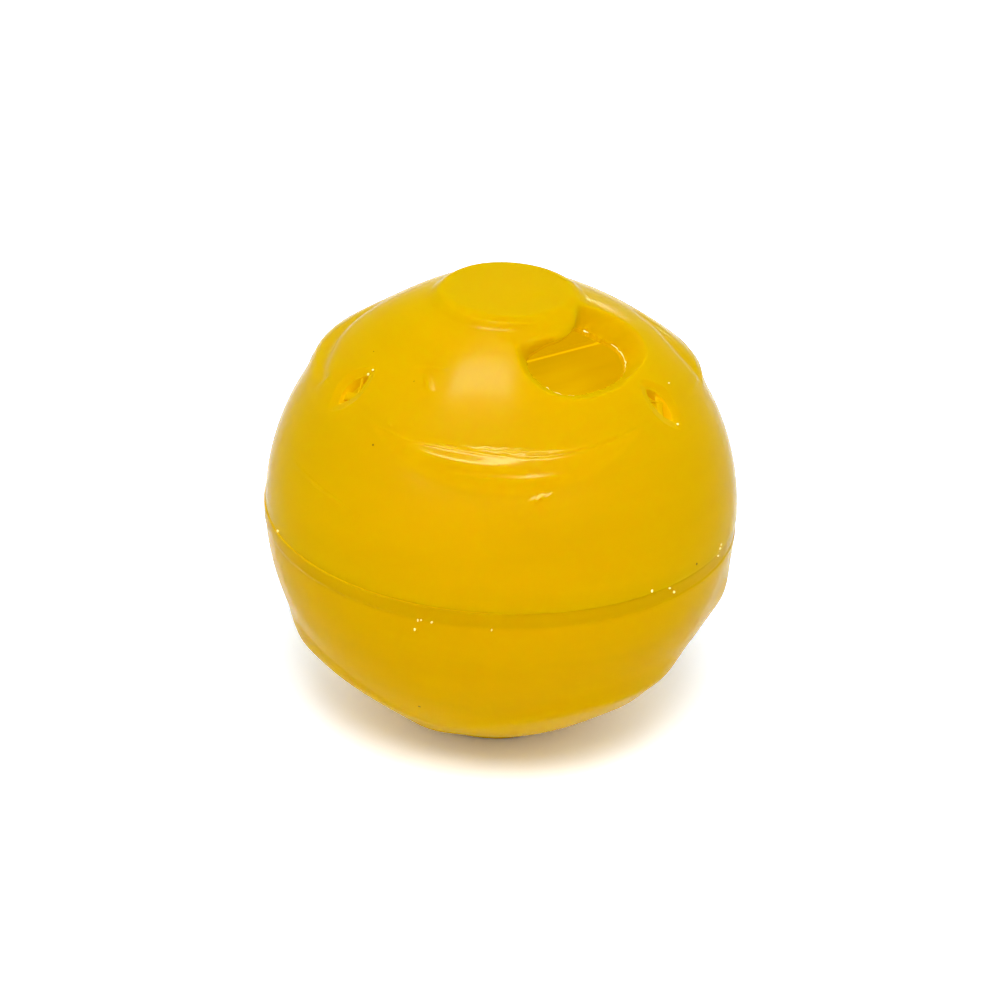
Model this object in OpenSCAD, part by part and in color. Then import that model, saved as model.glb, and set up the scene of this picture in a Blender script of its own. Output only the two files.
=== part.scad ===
// Treat dispensing ball: two moulded soft halves that twist together, with a maze floor and an
// upright baffle inside. Millimetres, +Z up, -Y towards the treat mouth, origin under the foot.

/* [Ball] */
// Outside diameter of the ball, without its pads
ball_d = 127; // [115:1:150]
// Thickness of both halves
wall = 3.6; // [3:0.1:5]
// Height of the joint line above the middle of the ball
joint_z = 1; // [0:0.5:3]

/* [Pads] */
// Number of raised pads round each half
pads = 3; // [2:1:4]
// Height of a pad's crest above the ball
pad_rise = 1.8; // [1:0.1:3]
// Angle from the middle of a pad to its crest, in degrees
pad_crest_angle = 28.3; // [27:0.1:29.5]
// Angle from the middle of a pad to the foot of its step, in degrees
pad_step_angle = 36.8; // [35:0.1:39]
// Latitude of the middle of an upper pad, in degrees
upper_pad_lat = 66; // [63:0.5:68]
// Latitude of the middle of a lower pad, in degrees below the joint
lower_pad_lat = 61; // [58:0.5:65]
// Turn of the upper pads round the ball from the treat mouth, in degrees
upper_pad_turn = -35; // [-60:1:60]
// Turn of the lower pads round the ball from the treat mouth, in degrees
lower_pad_turn = 5; // [-60:1:60]

/* [Domes and discs] */
// How far the edge of the upper dome lies below the top of the ball
upper_dome_drop = 2.6; // [2:0.1:3.2]
// How far the edge of the lower dome lies above the bottom of the ball
lower_dome_drop = 1.9; // [1.6:0.1:3]
// How much the side of the upper dome bulges from a straight cone
upper_dome_bulge = 1.3; // [0.8:0.1:1.8]
// How much the side of the lower dome bulges from a straight cone
lower_dome_bulge = 1.9; // [1:0.1:2.4]
// Diameter of the flat face of the top disc
top_disc_d = 30; // [24:0.5:34]
// Height of the top disc above the dome
top_disc_rise = 1.4; // [0.8:0.1:2.4]
// Diameter of the flat face of the foot
foot_d = 36; // [30:0.5:42]
// Height of the foot below the dome
foot_rise = 2.2; // [1:0.1:3]
// Width of the rounded flank of the top disc and the foot
disc_flank = 3.2; // [2:0.1:4.5]

/* [Treat mouth] */
// Width of the oval hole that the treats fall from
mouth_w = 30.4; // [28:0.2:32]
// Height of that hole, along a meridian
mouth_h = 21.2; // [19:0.2:22]
// Width of the pocket round the hole, on the ball's surface
mouth_pocket_w = 39.2; // [37:0.2:41]
// Height of the pocket round the hole, on the ball's surface
mouth_pocket_h = 27.6; // [27:0.2:29]
// Slope of the pocket's wall, in degrees
mouth_draft = 26.5; // [22:0.5:28]
// Depth of the hole's edge below the ball's surface
mouth_depth = 7.5; // [6.6:0.1:8]
// Latitude of the middle of the mouth, in degrees
mouth_lat = 63.7; // [61:0.1:65]
// Turn of the mouth round the ball from the baffle's middle, in degrees
mouth_turn = 12; // [-20:1:20]
// Thickness of the wall round the hole, inside the ball
mouth_wall = 2.4; // [1.6:0.1:3]

/* [Slots] */
// Length of a slot, along a meridian
slot_len = 12.3; // [9:0.1:13.5]
// Width of a slot at its middle
slot_w = 6; // [3:0.1:7]
// Length of the dished recess round a slot
slot_dish_len = 18.2; // [16:0.1:20]
// Width of the dished recess round a slot
slot_dish_w = 12.4; // [10:0.1:14]
// Depth of the dished recess
slot_dish_depth = 1.2; // [0.6:0.1:1.6]
// Latitude of the slots, in degrees
slot_lat = 42; // [40:0.5:45]

/* [Twist joint] */
// Thickness of the collar that the lower half holds the upper half with
collar_t = 4.2; // [3.8:0.1:6]
// Height of the band that shows under the joint line
collar_band_h = 4.1; // [2:0.1:6]
// How far the band stands out from the ball
collar_proud = 0.4; // [0.2:0.1:0.8]
// Thickness of the skirt of the upper half that enters the collar
skirt_t = 3; // [2:0.1:4]
// Length of the skirt below the joint line
skirt_len = 8.5; // [7.5:0.1:12]
// Number of locking lugs on the skirt
lugs = 3; // [2:1:4]
// Width of a lug round the skirt, in degrees
lug_angle = 16; // [10:1:20]
// Height of a lug
lug_h = 2.6; // [2:0.1:3.4]
// How far a lug reaches into the collar
lug_reach = 1.8; // [1:0.1:2]
// Turn that frees the lugs, in degrees
twist_angle = 24; // [21:1:30]
// Gap between faces that slide on each other
fit_gap = 0.3; // [0.2:0.05:0.4]

/* [Maze] */
// Thickness of the maze floor
floor_t = 2; // [1.6:0.1:3]
// Width of the ledge that carries the maze floor
ledge_w = 4; // [3:0.1:6]
// Height of the ledge
ledge_h = 2.4; // [2:0.1:4]
// Diameter of the hole that drops treats behind the baffle
rear_hole_d = 32; // [24:0.5:36]
// Diameter of the hole that drops treats in front of the baffle
front_hole_d = 26; // [22:0.5:34]
// Distance of both holes from the middle of the floor
hole_reach = 29; // [26:0.5:31]
// Number of keys that stop the floor from turning
keys = 3; // [2:1:4]
// Width of a key
key_w = 5; // [4:0.1:8]
// Thickness of the upright baffle
baffle_t = 2.4; // [1.6:0.1:3.2]
// Radius of the baffle's rounded outline
baffle_r = 54.5; // [50:0.5:54.8]
// Width of the gap in the top of the baffle
baffle_gap_w = 59.6; // [50:0.2:62]
// Height of the bottom of that gap above the middle of the ball
baffle_gap_z = 40; // [36:0.5:42]
// Radius of the gap's two bottom corners
baffle_gap_r = 1.5; // [0.5:0.1:4]
// Width of each tab that stands in the floor
tab_w = 10; // [6:0.5:14]
// Distance of each tab from the middle of the baffle
tab_reach = 40; // [36:0.5:44]

/* [Hidden] */
$fn = 96;

// One overrun for every cut, the steps along a dome's side, and how far past the crests it runs
over = 1;
dome_steps = 7;
dome_skirt_share = 0.1;
flank_steps = 5;

ball_r = ball_d / 2;
inner_r = ball_r - wall;
far = ball_d;
half = 0.5;

// Height of the ball's middle above the ground
centre_z = ball_r - lower_dome_drop + foot_rise;

// A pad is part of a sphere that rises from the ball at the step and stands proud at the crest
crest_r = ball_r + pad_rise;
pad_offset = (crest_r * crest_r - ball_r * ball_r)
    / (crest_r * cos(pad_crest_angle) - ball_r * cos(pad_step_angle)) * half;
pad_r = sqrt(pad_offset * pad_offset + ball_r * ball_r
    - pad_offset * ball_r * cos(pad_step_angle) / half);

top_foot_r = top_disc_d * half + disc_flank;
bottom_foot_r = foot_d * half + disc_flank;

// Treat mouth: the radii of its rounded ends, the straight middles between them, and the heights
// of the hole's edge and of the pocket's rim
mouth_r = mouth_h * half;
mouth_mid = (mouth_w - mouth_h) * half;
pocket_r = mouth_pocket_h * half;
pocket_mid = (mouth_pocket_w - mouth_pocket_h) * half;
mouth_low = ball_r - mouth_depth;
pocket_z = sqrt(ball_r * ball_r - pocket_r * pocket_r);
pocket_low_r = pocket_r - tan(mouth_draft) * (pocket_z - mouth_low);

// Twist joint, worked inwards from the ball's outside
collar_in_r = ball_r - collar_t;
skirt_out_r = collar_in_r - fit_gap;
skirt_in_r = skirt_out_r - skirt_t;
lug_r = skirt_out_r + lug_reach;
groove_r = lug_r + fit_gap;
rim_z = joint_z + fit_gap;
skirt_end_z = joint_z - skirt_len;
lug_top_z = skirt_end_z + lug_h;
root_z = rim_z + skirt_t;

// Maze floor, held between the ledge and the end of the skirt
floor_top_z = skirt_end_z - fit_gap;
floor_z = floor_top_z - floor_t;
seat_r = sqrt(inner_r * inner_r - floor_z * floor_z);
floor_r = min(seat_r, collar_in_r) - fit_gap;
ledge_in_r = floor_r - ledge_w;
key_in_r = ledge_in_r + ledge_w * half;

// Places a piece on the ball: turn is measured round from the mouth, lat up from the middle
module at_place(turn, lat) {
    rotate([0, 0, turn]) rotate([90 - lat, 0, 0]) children();
}

// Point at a distance from the ball's middle, as radius and height
function polar(r, lat) = [r * cos(lat), r * sin(lat)];

// Points along a side from a to b that bulges outwards by sag
function bowed(a, b, sag, steps) = [
    for (i = [0 : steps])
        let (t = i / steps, d = b - a, n = [d[1], -d[0]] / norm(d))
            a + d * t + n * sag * sin(180 * t)
];

// Half of the ball's outside: the ball and its pads above a height, trimmed by a dome
module half_body(pad_lat, pad_turn, drop, bulge, foot_r, low) {
    crest = polar(crest_r, pad_lat - pad_crest_angle);
    edge = [foot_r, ball_r - drop];
    outer = crest + (crest - edge) * dome_skirt_share;
    reach = crest + (crest - edge);
    difference() {
        intersection() {
            union() {
                sphere(r = ball_r);
                for (i = [0 : pads - 1])
                    at_place(pad_turn + i * 360 / pads, pad_lat)
                        translate([0, 0, pad_offset]) sphere(r = pad_r);
            }
            slab(low, ball_d);
        }
        rotate_extrude()
            polygon(concat([[0, ball_d], [reach[0], ball_d], reach],
                bowed(outer, edge, bulge, dome_steps), [[0, edge[1]]]));
    }
}

// Raised disc with a rounded flank, used for the top disc and the foot
module raised_disc(face_r, base_z, rise) {
    rotate_extrude()
        polygon(concat([[0, base_z - wall * half], [face_r + disc_flank, base_z - wall * half]],
            [for (i = [0 : flank_steps]) let (a = 90 * i / flank_steps)
                [face_r + disc_flank * cos(a), base_z + rise * sin(a)]],
            [[0, base_z + rise]]));
}

// Flat layer between two heights, wider than the ball
module slab(low, high) {
    translate([-far, -far, low]) cube([far / half, far / half, high - low]);
}

// Part of a ring that spans an angle and is centred on a turn from the mouth
module ring_part(out_r, in_r, low, high, turn, angle) {
    rotate([0, 0, turn - 90 - angle * half])
        rotate_extrude(angle = angle) translate([in_r, low]) square([out_r - in_r, high - low]);
}

// Almond outline, long along Y: two equal arcs that meet in points
module almond(len, w) {
    r = (len * len + w * w) / w * half * half;
    intersection() {
        translate([r - w * half, 0]) circle(r = r);
        translate([w * half - r, 0]) circle(r = r);
    }
}

// Oval block with sloped sides: a cone at each end and a prism between them
module oval_block(low_r, slope, mid, low, high) {
    high_r = low_r + tan(slope) * (high - low);
    translate([0, 0, low]) {
        for (side = [-1, 1])
            translate([side * mid, 0, 0]) cylinder(r1 = low_r, r2 = high_r, h = high - low);
        rotate([90, 0, 90]) translate([0, 0, -mid]) linear_extrude(height = mid / half)
            polygon([[-low_r, 0], [low_r, 0], [high_r, high - low], [-high_r, high - low]]);
    }
}

// Pocket and hole of the treat mouth, cut straight towards the ball's middle
module mouth_cut() {
    at_place(mouth_turn, mouth_lat) {
        oval_block(pocket_low_r, mouth_draft, pocket_mid, mouth_low, ball_r + mouth_depth);
        oval_block(mouth_r, 0, mouth_mid, mouth_low - mouth_depth, mouth_low + over);
    }
}

// Wall under the pocket that stands inside the shell
module mouth_funnel() {
    intersection() {
        at_place(mouth_turn, mouth_lat)
            oval_block(pocket_low_r + mouth_wall * half, mouth_draft, pocket_mid,
                mouth_low - mouth_wall, pocket_z - mouth_wall);
        sphere(r = inner_r + wall * half * half);
    }
}

// Slot with its dished recess, cut between two pads
module slot_cut(turn) {
    dish_r = (slot_dish_w * slot_dish_w * half * half + slot_dish_depth * slot_dish_depth)
        / slot_dish_depth * half;
    at_place(turn, slot_lat) {
        translate([0, 0, inner_r - wall]) linear_extrude(height = wall * 4) almond(slot_len, slot_w);
        intersection() {
            translate([0, 0, ball_r - slot_dish_depth + dish_r]) sphere(r = dish_r);
            translate([0, 0, ball_r - wall]) linear_extrude(height = wall * 4)
                almond(slot_dish_len, slot_dish_w);
        }
    }
}

// Upper half: dome, pads, top disc, treat mouth, slots and the skirt with its lugs
module upper_shell() {
    color([0.95, 0.75, 0.02]) translate([0, 0, centre_z]) difference() {
        union() {
            difference() {
                union() {
                    half_body(upper_pad_lat, upper_pad_turn, upper_dome_drop,
                        upper_dome_bulge, top_foot_r, rim_z);
                    raised_disc(top_disc_d * half, ball_r - upper_dome_drop, top_disc_rise);
                }
                sphere(r = inner_r);
            }
            mouth_funnel();
            skirt();
        }
        mouth_cut();
        for (i = [0 : pads - 1])
            slot_cut(upper_pad_turn + (i + half) * 360 / pads);
    }
}

// Skirt that enters the collar, with a sloped root and the locking lugs
module skirt() {
    root_r = sqrt(inner_r * inner_r - root_z * root_z) + wall * half;
    rotate_extrude() polygon([
        [skirt_in_r, skirt_end_z], [skirt_out_r, skirt_end_z], [skirt_out_r, rim_z],
        [root_r, rim_z], [root_r, root_z + skirt_t], [skirt_in_r, rim_z]
    ]);
    for (i = [0 : lugs - 1])
        ring_part(lug_r, skirt_out_r - skirt_t * half, skirt_end_z, lug_top_z, i * 360 / lugs, lug_angle);
}

// Lower half: dome, pads, foot, the collar with its L-shaped grooves, and the ledge
module lower_shell() {
    color([0.88, 0.67, 0.02]) translate([0, 0, centre_z]) {
        difference() {
            union() {
                mirror([0, 0, 1]) half_body(lower_pad_lat, lower_pad_turn, lower_dome_drop,
                    lower_dome_bulge, bottom_foot_r, -joint_z);
                intersection() {
                    sphere(r = ball_r + collar_proud);
                    slab(joint_z - collar_band_h, joint_z);
                }
                mirror([0, 0, 1])
                    raised_disc(foot_d * half, ball_r - lower_dome_drop, foot_rise);
            }
            intersection() {
                sphere(r = inner_r);
                cylinder(r = collar_in_r, h = far / half, center = true);
            }
            collar_grooves();
        }
        ledge();
    }
}

// Each lug drops down an entry and turns under the collar to the stop
module collar_grooves() {
    play = asin(fit_gap / lug_r);
    for (i = [0 : lugs - 1]) {
        turn = i * 360 / lugs;
        ring_part(groove_r, collar_in_r - over, floor_top_z, lug_top_z + fit_gap,
            turn + (twist_angle + play) * half, lug_angle + twist_angle + play * 3);
        ring_part(groove_r + fit_gap * half, collar_in_r - over, lug_top_z - fit_gap, joint_z + over,
            turn + twist_angle, lug_angle + play / half);
    }
}

// Ledge under the maze floor, with the keys that stand in the floor's notches
module ledge() {
    intersection() {
        union() {
            rotate_extrude() polygon([
                [ledge_in_r, floor_z], [ball_r, floor_z], [ball_r, floor_z - ledge_h - ledge_w],
                [floor_r, floor_z - ledge_h - ledge_w], [ledge_in_r, floor_z - ledge_h]
            ]);
            for (i = [0 : keys - 1])
                rotate([0, 0, (i + half) * 360 / keys])
                    translate([-key_w * half, -ball_r, floor_z - ledge_h * half])
                        cube([key_w, ball_r - key_in_r, floor_t + ledge_h * half]);
        }
        sphere(r = inner_r + wall * half);
    }
}

// Maze floor: a disc with two drop holes, the baffle's tab slots and notches for the keys
module maze_floor() {
    color([0.92, 0.71, 0.05]) translate([0, 0, centre_z + floor_z]) difference() {
        cylinder(r = floor_r, h = floor_t);
        translate([0, hole_reach, -over]) cylinder(d = rear_hole_d, h = floor_t + over / half);
        translate([0, -hole_reach, -over]) cylinder(d = front_hole_d, h = floor_t + over / half);
        for (side = [-1, 1])
            translate([side * tab_reach - tab_w * half - fit_gap, -fit_gap, -over])
                cube([tab_w + fit_gap / half, baffle_t + fit_gap / half, floor_t + over / half]);
        for (i = [0 : keys - 1])
            rotate([0, 0, (i + half) * 360 / keys])
                translate([-key_w * half - fit_gap, -ball_r, -over])
                    cube([key_w + fit_gap / half, ball_r - key_in_r + fit_gap, floor_t + over / half]);
    }
}

// Upright baffle behind the mouth: a half-round plate with a gap in its top and two tabs
module baffle_wall() {
    color([0.86, 0.64, 0.04]) translate([0, baffle_t, centre_z]) rotate([90, 0, 0])
        linear_extrude(height = baffle_t) {
            difference() {
                intersection() {
                    circle(r = baffle_r);
                    translate([-baffle_r, floor_top_z])
                        square([baffle_r / half, baffle_r + ball_r]);
                }
                translate([-baffle_gap_w * half + baffle_gap_r, baffle_gap_z])
                    square([baffle_gap_w - baffle_gap_r / half, ball_r]);
                translate([-baffle_gap_w * half, baffle_gap_z + baffle_gap_r])
                    square([baffle_gap_w, ball_r]);
                for (side = [-1, 1])
                    translate([side * (baffle_gap_w * half - baffle_gap_r),
                        baffle_gap_z + baffle_gap_r]) circle(r = baffle_gap_r);
            }
            for (side = [-1, 1])
                translate([side * tab_reach - tab_w * half, floor_z])
                    square([tab_w, floor_t + over]);
        }
}

upper_shell();
lower_shell();
maze_floor();
baffle_wall();
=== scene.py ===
"""Dresses the treat dispensing ball: two glossy moulded shells, the maze inside and a studio.

Every length in this file is in metres, apart from the camera's lens. The ball's middle is the
point that all shell forms are measured from, and a turn is an angle round the ball from -Y,
positive towards +X.
"""

import math

import bmesh
import bpy
import numpy as np
from bpy.props import FloatProperty, FloatVectorProperty, IntProperty, PointerProperty
from mathutils import Matrix, Vector
from mathutils.geometry import delaunay_2d_cdt


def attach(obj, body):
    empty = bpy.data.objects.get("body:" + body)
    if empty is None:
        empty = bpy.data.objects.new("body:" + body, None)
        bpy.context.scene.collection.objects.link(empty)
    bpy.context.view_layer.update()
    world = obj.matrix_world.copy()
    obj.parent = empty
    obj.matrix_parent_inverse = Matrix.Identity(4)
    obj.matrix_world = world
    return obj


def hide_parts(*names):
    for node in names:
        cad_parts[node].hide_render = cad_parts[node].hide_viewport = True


bl_info = {
    "name": "Treat Ball Dresser",
    "version": (1, 0, 0),
    "blender": (4, 5, 0),
    "location": "View3D > Sidebar > Treat Ball",
    "description": "Builds the shells, finishes and studio of a treat dispensing ball",
    "category": "Object",
}

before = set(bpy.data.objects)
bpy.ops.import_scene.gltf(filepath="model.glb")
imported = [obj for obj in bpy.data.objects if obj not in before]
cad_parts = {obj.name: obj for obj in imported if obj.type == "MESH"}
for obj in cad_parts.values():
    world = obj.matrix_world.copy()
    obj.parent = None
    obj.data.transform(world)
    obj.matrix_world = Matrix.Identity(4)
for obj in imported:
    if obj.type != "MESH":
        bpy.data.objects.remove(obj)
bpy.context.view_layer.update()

MM = 0.001
PADS = 3
LUGS = 3
LOWER_BODY = "lower_half"
UPPER_BODY = "upper_half"


# Settings that a user would change


class BallForm(bpy.types.PropertyGroup):
    """Sizes of the ball's outside, which the fine shells follow."""

    radius: FloatProperty(
        name="Radius", description="Ball without its pads", default=63.5 * MM, unit="LENGTH"
    )
    middle: FloatProperty(
        name="Middle", description="Height of the ball's middle", default=63.8 * MM, unit="LENGTH"
    )
    wall: FloatProperty(
        name="Wall", description="Thickness of both shells", default=3.6 * MM, unit="LENGTH"
    )
    pad_rise: FloatProperty(
        name="Pad rise", description="Height of a pad's crest", default=1.8 * MM, unit="LENGTH"
    )
    pad_crest: FloatProperty(
        name="Pad crest",
        description="Angle from a pad's middle to its crest",
        default=math.radians(28.3),
        subtype="ANGLE",
    )
    pad_step: FloatProperty(
        name="Pad step",
        description="Angle from a pad's middle to the foot of its step",
        default=math.radians(36.8),
        subtype="ANGLE",
    )
    spacing: FloatProperty(
        name="Mesh spacing",
        description="Distance between points on the outside",
        default=0.95 * MM,
        unit="LENGTH",
    )


class BallLook(bpy.types.PropertyGroup):
    """Colours of the moulded plastic, and of the painted light through its cut walls."""

    upper: FloatVectorProperty(
        name="Upper shell",
        description="Colour of the upper shell",
        default=(0.735, 0.448, 0.0),
        size=3,
        subtype="COLOR",
    )
    lower: FloatVectorProperty(
        name="Lower shell",
        description="Colour of the lower shell",
        default=(0.755, 0.44, 0.0),
        size=3,
        subtype="COLOR",
    )
    maze: FloatVectorProperty(
        name="Maze",
        description="Colour of the floor and the baffle",
        default=(0.77, 0.585, 0.0),
        size=3,
        subtype="COLOR",
    )
    # The burrs' pale cream is partly the whitened plastic of a torn edge and partly a painted
    # glint along it
    burr: FloatVectorProperty(
        name="Burrs",
        description="Colour of the torn edges and flecks of flash",
        default=(0.95, 0.76, 0.24),
        size=3,
        subtype="COLOR",
    )
    speck: FloatVectorProperty(
        name="Specks",
        description="Colour of the dark specks in the plastic",
        default=(0.25, 0.13, 0.01),
        size=3,
        subtype="COLOR",
    )
    # Painted light: the cut walls and the joint take the orange of light that comes through the
    # plastic
    wall: FloatVectorProperty(
        name="Cut walls",
        description="Colour of the light that comes through the cut walls and the joint",
        default=(0.77, 0.46, 0.0),
        size=3,
        subtype="COLOR",
    )


class BallStage(bpy.types.PropertyGroup):
    """Camera and lights."""

    distance: FloatProperty(
        name="Camera distance",
        description="From the ball's middle to the camera",
        default=952.5 * MM,
        unit="LENGTH",
    )
    key: FloatProperty(
        name="Top softbox", description="Power of the softbox overhead", default=5.45, unit="POWER"
    )
    shine: FloatProperty(
        name="Highlights",
        description="Power of the lamps that only show as reflections",
        default=38.0,
        unit="POWER",
    )
    ambient: FloatProperty(
        name="Ambient", description="Strength of the white surround", default=0.58, min=0.0
    )


# Forms of the two halves, as the distance from the ball's middle for any direction


# Widths over which the pads meet the ball, the dome trims the pads and the disc meets the dome,
# the last at the disc's front and how much wider behind
PAD_BLEND = 0.35 * MM
DOME_BLEND = 0.9 * MM
DISC_BLEND = (1.7 * MM, 3.0 * MM)
DOME_STAND = 40.0 * MM


def smooth_max(a, b, width):
    """The larger of two heights, blended over a width."""
    share = np.clip(0.5 + 0.5 * (a - b) / width, 0.0, 1.0)
    return b + (a - b) * share + width * share * (1.0 - share)


def smooth_min(a, b, width):
    """The smaller of two heights, blended over a width."""
    return -smooth_max(-a, -b, width)


def direction(turn, lat):
    """Unit vectors for turns and latitudes in radians."""
    return np.stack(
        [np.cos(lat) * np.sin(turn), -np.cos(lat) * np.cos(turn), np.sin(lat)], axis=-1
    )


def toward(turn, lat):
    """Unit vectors for turns and latitudes in degrees."""
    return direction(np.radians(turn), np.radians(lat))


def local_axes(turn, lat):
    """Outward, eastward and northward unit vectors at a place on the ball."""
    out = direction(turn, lat)
    east = np.array([math.cos(turn), math.sin(turn), 0.0])
    return out, east, np.cross(out, east)


class HalfForm:
    """Outside of one half of the ball, with latitudes counted from the joint to the pole."""

    def __init__(self, form, sizes):
        self.r = form.radius
        self.rise = form.pad_rise
        self.crest = form.pad_crest
        self.step = form.pad_step
        self.pad_lat = math.radians(sizes["pad_lat"])
        self.pad_turn = math.radians(sizes["pad_turn"])
        self.drop = sizes["drop"]
        self.bulge = sizes["bulge"]
        self.face_r = sizes["face_r"]
        self.face_rise = sizes["face_rise"]
        self.flank = sizes["flank"]
        self.top = self.r - self.drop + self.face_rise
        self.swells = sizes["swells"]
        self.ridges = []
        for height, width, path, repeats in sizes["ridges"]:
            for i in range(repeats):
                turns, lats = np.array(path).T
                along = toward(turns + i * 360.0 / PADS, lats)
                self.ridges.append((height, width, along))

    def pads(self, d):
        """Distance of the nearest pad's surface, from spheres set off towards each pad."""
        top = self.r + self.rise
        offset = (top**2 - self.r**2) / (
            2.0 * (top * math.cos(self.crest) - self.r * math.cos(self.step))
        )
        pad_r2 = offset**2 + self.r**2 - 2.0 * offset * self.r * math.cos(self.step)
        best = np.zeros(len(d))
        for i in range(PADS):
            turn = self.pad_turn + i * math.tau / PADS
            c = d @ direction(turn, self.pad_lat)
            under = pad_r2 - offset**2 * (1.0 - c * c)
            best = np.maximum(best, offset * c + np.sqrt(np.maximum(under, 0.0)))
        return best

    def dome(self, lat):
        """Distance of the dome that trims the pads, a bulged cone with a flat top."""
        crest_lat = self.pad_lat - self.crest
        start = (self.r + self.rise) * np.array([math.cos(crest_lat), math.sin(crest_lat)])
        end = np.array([self.face_r + self.flank, self.r - self.drop])
        along = end - start
        normal = np.array([along[1], -along[0]]) / np.linalg.norm(along)
        t = np.linspace(0.0, 1.0, 60)
        side = start + np.outer(t, along) + np.outer(np.sin(np.pi * t), normal * self.bulge)
        before = start - np.outer(np.linspace(1.0, 0.02, 30), along)
        points = np.vstack([before, side])
        lats = np.arctan2(points[:, 1], points[:, 0])
        dome = np.interp(lat, lats, np.hypot(points[:, 0], points[:, 1]))
        flat = (self.r - self.drop) / np.maximum(np.sin(lat), 1e-6)
        return np.where(lat > lats[-1], flat, dome)

    def disc(self, lat):
        """Distance of the raised disc at the pole, whose edge rolls off past its face."""
        edge_lat = math.atan2(self.top, self.face_r)
        face = self.top / np.maximum(np.sin(lat), 0.3)
        past = np.maximum(edge_lat - lat, 0.0) * self.r / self.flank
        return face - self.face_rise * past**2

    def distance(self, d):
        """Distance of the outside for unit vectors whose z runs from the joint to the pole."""
        lat = np.arcsin(np.clip(d[:, 2], -1.0, 1.0))
        body = smooth_max(self.pads(d), np.full(len(d), self.r), PAD_BLEND)
        dome = smooth_min(self.dome(lat), body + DOME_STAND, 0.1 * MM)
        body = smooth_min(body, dome, DOME_BLEND)
        behind = 0.5 + 0.5 * d[:, 1] / np.maximum(np.hypot(d[:, 0], d[:, 1]), 1e-9)
        body = smooth_max(body, self.disc(lat), DISC_BLEND[0] + DISC_BLEND[1] * behind)
        for turn, at, reach, height in self.swells:
            angle = np.degrees(np.arccos(np.clip(d @ toward(turn, at), -1.0, 1.0)))
            body = body + height * np.exp(-((angle / reach) ** 2))
        for height, width, path in self.ridges:
            gap, along = nearest_on_path(d, path)
            taper = np.sqrt(np.clip(np.sin(np.pi * along), 0.0, 1.0))
            body = body + height * taper * np.exp(-((gap * self.r / width) ** 2))
        return np.minimum(body, self.top / np.maximum(np.abs(d[:, 2]), 0.01))


def nearest_on_path(d, path):
    """Gap from directions to a path of directions, and the share of the path at that place."""
    gap = np.full(len(d), 9.0)
    along = np.zeros(len(d))
    for i, (a, b) in enumerate(zip(path, path[1:])):
        step = b - a
        t = np.clip((d - a) @ step / (step @ step), 0.0, 1.0)
        here = np.linalg.norm(d - a - t[:, None] * step, axis=1)
        along = np.where(here < gap, (i + t) / (len(path) - 1), along)
        gap = np.minimum(gap, here)
    return gap, along


# Fine ridges left by the mould: height, width, path of turn and latitude, number round the ball
PAD_EDGE = ((-78, 38.9), (-70.5, 38.7), (-64.6, 38.2), (-53.9, 38.4), (-47.2, 38.3), (-40.8, 38),
            (-34.8, 37.7), (-28.6, 37.6), (-22.3, 37.6), (-16, 38), (-9.1, 38.6), (-1.4, 39.3),
            (7.1, 39.8), (14.8, 40.1))
PAD_STEP_HIGH = ((-68, 36.6), (-55.5, 35.9), (-49.5, 35.5), (-43.8, 35.2), (-38.3, 35.0),
                 (-28, 34.9))
PAD_STEP_LOW = ((-53, 32.9), (-40.8, 32.7), (-35.4, 32.6), (-30.1, 32.4), (-24.6, 32.6),
                (-17, 33.0))
REAR_GROOVE = ((-153, 51.5), (-146.5, 47.2), (-138.2, 44.0), (-131, 42.4), (-124, 41.5),
               (-117, 40.2), (-110, 38.8))
SIDE_GROOVE = ((82, 53.5), (74.5, 48), (68, 46), (61.5, 43.3), (57, 39.6), (55.5, 36))
RIPPLE = ((-48.6, 38.9), (-45.7, 39.1), (-43, 38.8), (-40, 39.1), (-37, 38.8), (-34.3, 39.1),
          (-32, 38.8), (-30, 39.1), (-27.5, 38.8), (-25.7, 39), (-23, 38.8), (-21.4, 39.1),
          (-18.5, 38.8), (-15, 39))
SIDE_CREASE = ((-103, 20.0), (-94, 20.1), (-87.4, 19.7), (-77.8, 19.0), (-69.4, 17.4))
SCUFF = ((-28.2, 27.2), (-26.4, 28.2), (-25.6, 27.8), (-24.6, 28.8), (-23.4, 28.4), (-21, 29.4))
UPPER_RIDGES = (
    (0.16 * MM, 0.45 * MM, PAD_EDGE[:8], 3),
    (-0.14 * MM, 0.4 * MM, PAD_EDGE[6:], 3),
    (-1.5 * MM, 2.8 * MM, REAR_GROOVE, 1),
    (-1.2 * MM, 2.6 * MM, SIDE_GROOVE, 1),
    (0.5 * MM, 1.5 * MM, PAD_STEP_HIGH, 3),
    (0.42 * MM, 1.1 * MM, PAD_STEP_LOW, 3),
    (0.24 * MM, 0.5 * MM, ((-62, 73.0), (-50, 73.3), (-38, 73.4), (-26, 73.3), (-14, 73.0)), 1),
    (0.18 * MM, 0.45 * MM, ((-55, 75.4), (-42, 75.8), (-28, 75.9), (-12, 75.6)), 1),
    (0.2 * MM, 0.45 * MM, RIPPLE, 1),
    (0.26 * MM, 0.6 * MM, SCUFF, 1),
    (0.3 * MM, 0.7 * MM, ((-70.3, 55), (-67.3, 53.5), (-64.8, 51.8), (-63.1, 50.7)), 1),
    (0.12 * MM, 0.5 * MM, ((-77.3, 56), (-69.7, 57.1), (-62, 57.6)), 1),
    (0.25 * MM, 0.5 * MM, ((-72.2, 40.9), (-71.2, 40.2), (-70.6, 39.6)), 1),
    (0.2 * MM, 0.55 * MM, SIDE_CREASE, 1),
)

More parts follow.
